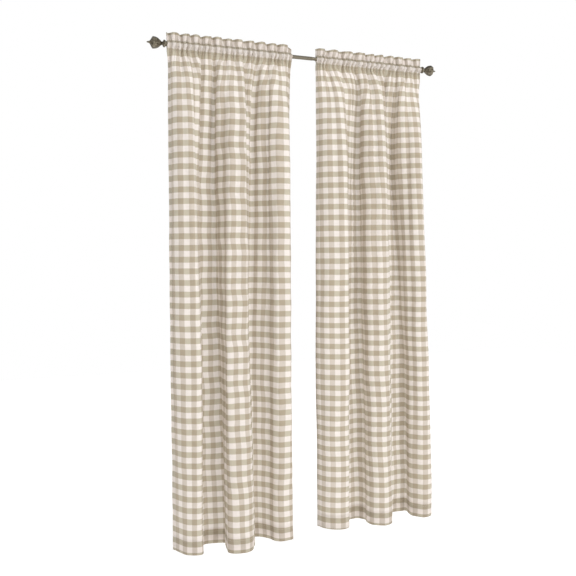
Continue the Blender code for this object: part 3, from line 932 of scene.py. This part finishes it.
def pewterSurface(name, mottled):
    # pewter-plated steel, antiqued with a dark wash and rubbed back: satin, blotched, bright on its edges
    surface, tree = newSurface(name)
    at = addNode(tree, "TexCoord"), 3
    size, grainSize = pewter["mottle"] * mm, pewter["grain"] * mm
    patches = addNode(tree, "TexNoise", Vector=at, Scale=1 / size, Detail=4.0, Roughness=0.6)
    grain = addNode(tree, "TexNoise", Vector=at, Scale=1 / grainSize, Detail=2.0)
    start, end = pewter["stained"]
    spread = addNode(tree, "MapRange", Value=patches, From_Min=start, From_Max=end)
    wash = addNode(tree, "Math", operation="MULTIPLY", in_0=spread, in_1=mottled)
    colour = addNode(tree, "Mix", data_type="RGBA", Factor=wash,
                     in_6=linear(pewter["base"]), in_7=linear(pewter["dark"]))
    rub = addNode(tree, "Attribute", attribute_name="rub")
    factor, shift = pewter["wear"]
    worn = addNode(tree, "Math", operation="MULTIPLY_ADD", in_0=grain, in_1=factor, in_2=shift)
    worn = addNode(tree, "Math", operation="MULTIPLY", use_clamp=True, in_0=worn, in_1=(rub, 2))
    shade = addNode(tree, "Mix", data_type="RGBA", Factor=worn,
                    in_6=(colour, 2), in_7=linear(pewter["rubbed"]))
    smooth, matt = pewter["roughness"]
    rough = addNode(tree, "MapRange", Value=patches, From_Min=0.3, From_Max=0.7, To_Min=smooth, To_Max=matt)
    bump = addNode(tree, "Bump", Strength=pewter["castBump"] * mottled + pewter["bump"],
                   Distance=pewter["bumpDepth"], Height=grain)
    shader = addNode(tree, "BsdfPrincipled", Base_Color=(shade, 2), Metallic=pewter["metallic"],
                     Roughness=rough, Normal=bump)
    addNode(tree, "OutputMaterial", Surface=shader)
    return surface


# Camera fitted to the rod and the check rows of the photograph
camera = {
    "turn": 23.889,  # degrees to the left of straight on
    "down": 2.258,
    "roll": 0.381,
    "distance": 3.49613,  # metres
    "eye": -0.85832,  # metres from the rod's axis
    "aim": -0.07507,  # metres along the rod
    "focal": 805.968,  # pixels, in a frame of 576
    "frame": 576.0,
    "sensor": 36.0,
}


def placeCamera():
    turn, down, roll = (math.radians(camera[key]) for key in ("turn", "down", "roll"))
    data = bpy.data.cameras.new("camera")
    data.sensor_width = camera["sensor"]
    data.lens = camera["focal"] / camera["frame"] * camera["sensor"]
    ahead = Vector((math.sin(turn) * math.cos(down), math.cos(turn) * math.cos(down), -math.sin(down)))
    right = Vector((math.cos(turn), -math.sin(turn), 0.0))
    below = -right.cross(ahead)
    across = right * math.cos(roll) + below * math.sin(roll)
    under = below * math.cos(roll) - right * math.sin(roll)
    holder = bpy.data.objects.new("camera", data)
    matrix = Matrix((across, -under, -ahead)).transposed().to_4x4()
    left, back = math.sin(turn) * camera["distance"], math.cos(turn) * camera["distance"]
    matrix.translation = (camera["aim"] - left, -back, camera["eye"])
    holder.matrix_world = matrix
    bpy.context.collection.objects.link(holder)
    bpy.context.scene.camera = holder


studio = {
    "floor": -2340.0,
    "floorSize": 14000.0,
    "floorPaint": "#FAFAFA",
    "floorGlow": 0.3,
    "white": "#FFFFFF",
    "fill": 0.84,  # strength of the light from all round
    # how bright the room is that metal mirrors: (height of the line of sight, strength)
    "room": ((-1.0, 0.12), (-0.35, 0.35), (0.0, 1.15), (0.35, 0.9), (1.0, 0.3)),
    # main light, in metres
    "key": {"place": (1.0, -4.0, 0.3), "aim": (0.0, 0.0, -0.9), "size": 2.2, "watts": 76.0},
}


def keyLight():
    values = studio["key"]
    data = bpy.data.lights.new("key", "AREA")
    data.shape = "SQUARE"
    data.size = values["size"]
    data.energy = values["watts"]
    lamp = bpy.data.objects.new("key", data)
    lamp.location = values["place"]
    ahead = Vector(values["aim"]) - Vector(values["place"])
    lamp.rotation_euler = ahead.to_track_quat("-Z", "Y").to_euler()
    bpy.context.collection.objects.link(lamp)


def studioFloor():
    surface, tree = newSurface("studio_floor_matt_paint")
    shader = addNode(tree, "BsdfPrincipled", Base_Color=linear(studio["floorPaint"]), Roughness=0.9,
                     Emission_Color=linear(studio["white"]), Emission_Strength=studio["floorGlow"])
    addNode(tree, "OutputMaterial", Surface=shader)
    half, height = studio["floorSize"] / 2, studio["floor"]
    corners = [(-half, -half, height), (half, -half, height), (half, half, height), (-half, half, height)]
    return makeMesh("floor", np.array(corners), [[0, 1, 2, 3]], surface)


def studioWorld():
    # white behind the curtains, and a softer white that lights them
    world = bpy.data.worlds.new("studio")
    world.use_nodes = True
    tree = world.node_tree
    tree.nodes.clear()
    white = linear(studio["white"])
    seen = addNode(tree, "Background", Color=white, Strength=1.0)
    fill = addNode(tree, "Background", Color=white, Strength=studio["fill"])
    # metal mirrors a bright room between a dark ceiling and a darker floor
    way = addNode(tree, "TexCoord")
    height = addNode(tree, "SeparateXYZ", in_0=(way, 0))
    room = addNode(tree, "FloatCurve", Value=(height, 2))
    curve = room.mapping.curves[0]
    for k, (up, bright) in enumerate(studio["room"]):
        point = curve.points[k] if k < 2 else curve.points.new(0.5, 0.5)
        point.location = (up, bright)
    room.mapping.use_clip = False
    room.mapping.update()
    mirrored = addNode(tree, "Background", Color=white, Strength=room)
    ray = addNode(tree, "LightPath")
    lit = addNode(tree, "MixShader", in_0=(ray, 3), in_1=fill, in_2=mirrored)
    mixed = addNode(tree, "MixShader", in_0=(ray, 0), in_1=lit, in_2=seen)
    addNode(tree, "OutputWorld", Surface=mixed)
    return world


def buildStudio():
    bpy.context.scene.view_settings.view_transform = "Standard"
    studioFloor()
    bpy.context.scene.world = studioWorld()
    keyLight()


def fit(piece, node):
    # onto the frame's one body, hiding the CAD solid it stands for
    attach(piece, "root")
    if node:
        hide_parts(node)


placeCamera()
buildStudio()
print("camera and studio stand")

ginghamCotton = ginghamSurface()
sewingThread = threadSurface()
for panel in (leftPanel, rightPanel):
    grid = panelGrid(panel)
    curtain = clothPiece(panel, grid, ginghamCotton)
    fit(curtain, panel["node"])
    stitching = stitchingPiece(panel, grid, sewingThread)
    fit(stitching, None)
    print(panel["name"], "hangs, with", len(stitching.data.polygons), "faces of stitches")

rodPewter = pewterSurface("pewter_plated_steel_drawn", 0.35)
castPewter = pewterSurface("pewter_zinc_cast_antiqued", 1.0)
outerTube = tubePiece("rod_outer", -rod["half"], rod["step"], rod["outer"], rodPewter)
fit(outerTube, "rod_outer_tube")
innerTube = tubePiece("rod_inner", rod["step"] - rod["lap"], rod["half"], rod["inner"], rodPewter)
fit(innerTube, "rod_inner_tube")
for name, node, side, width in (
    ("left_finial", "finial_left", -1, rod["outer"]),
    ("right_finial", "finial_right", 1, rod["inner"]),
):
    fit(finialPiece(name, side, width, castPewter), node)
print("rod and finials are turned")
